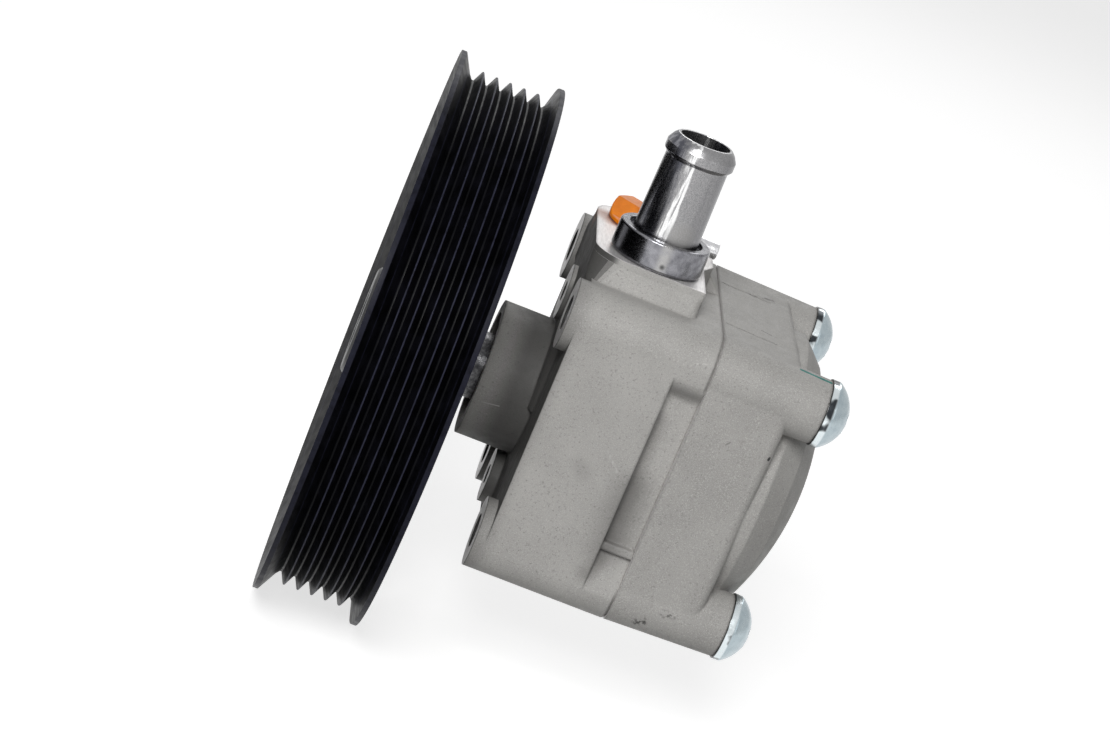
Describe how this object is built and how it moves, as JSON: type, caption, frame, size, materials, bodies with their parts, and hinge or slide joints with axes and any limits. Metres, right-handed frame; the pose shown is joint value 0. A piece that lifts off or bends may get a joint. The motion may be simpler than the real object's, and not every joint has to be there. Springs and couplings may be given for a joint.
{
  "type": "power steering pump",
  "caption": "Belt-driven vane pump for power steering, with a cast housing and cover, a grooved pulley, a steel suction pipe with a hose bead and a capped pressure port.",
  "frame": {"origin": "on the shaft's axis, in the plane of the faces of the corner mounting bosses", "axes": "+X along the shaft from the pulley to the rear cover, +Z out of the two ports, +Y to the far side, where the flow valve's plug is"},
  "size_m": [0.1167, 0.1398, 0.1453],
  "materials": {
    "cast_aluminium": "as cast, satin",
    "black_paint": "black dip coat, satin",
    "zinc_plating": "zinc plated, bright",
    "tube_steel": "turned, satin",
    "pin_steel": "ground",
    "steel": "ground",
    "sintered_steel": "sintered, ground faces",
    "bush_bronze": "plain",
    "rubber": "matt",
    "orange_plastic": "smooth"
  },
  "bodies": {
    "pump_body": {"front_housing": "cast_aluminium", "shaft_seal": "rubber", "front_bush": "bush_bronze", "front_plate_o_ring": "rubber", "front_plate": "sintered_steel", "cam_ring": "sintered_steel", "dowel_pins": "steel", "rear_plate": "sintered_steel", "rear_plate_o_ring": "rubber", "cover_o_ring": "rubber", "rear_cover": "cast_aluminium", "rear_bush": "bush_bronze", "cover_bolts": "zinc_plating", "flow_valve_spring": "steel", "valve_plug": "zinc_plating", "valve_plug_o_ring": "rubber", "suction_pipe": "tube_steel", "pipe_collar": "tube_steel", "pipe_o_ring": "rubber", "pipe_lock_pin": "pin_steel", "pressure_port_plug": "orange_plastic"},
    "rotating_group": {"drive_shaft": "steel", "pulley_hub": "black_paint", "pulley": "black_paint", "rotor": "sintered_steel", "rotor_snap_ring": "steel", "vane_1": "steel", "vane_2": "steel", "vane_3": "steel", "vane_4": "steel", "vane_5": "steel", "vane_6": "steel", "vane_7": "steel", "vane_8": "steel", "vane_9": "steel", "vane_10": "steel"},
    "flow_valve": {"flow_valve_spool": "steel"}
  },
  "joints": [
    {"name": "shaft_spin", "type": "hinge", "parent": "pump_body", "child": "rotating_group", "pos_m": [0, 0, 0], "axis": [1, 0, 0], "continuous": true},
    {"name": "flow_valve_slide", "type": "slide", "parent": "pump_body", "child": "flow_valve", "axis": [0, -1, 0], "range_m": [0, 0.006], "stiffness_N_per_m": 5000, "springref_m": -0.004, "deforming": ["flow_valve_spring"]}
  ]
}
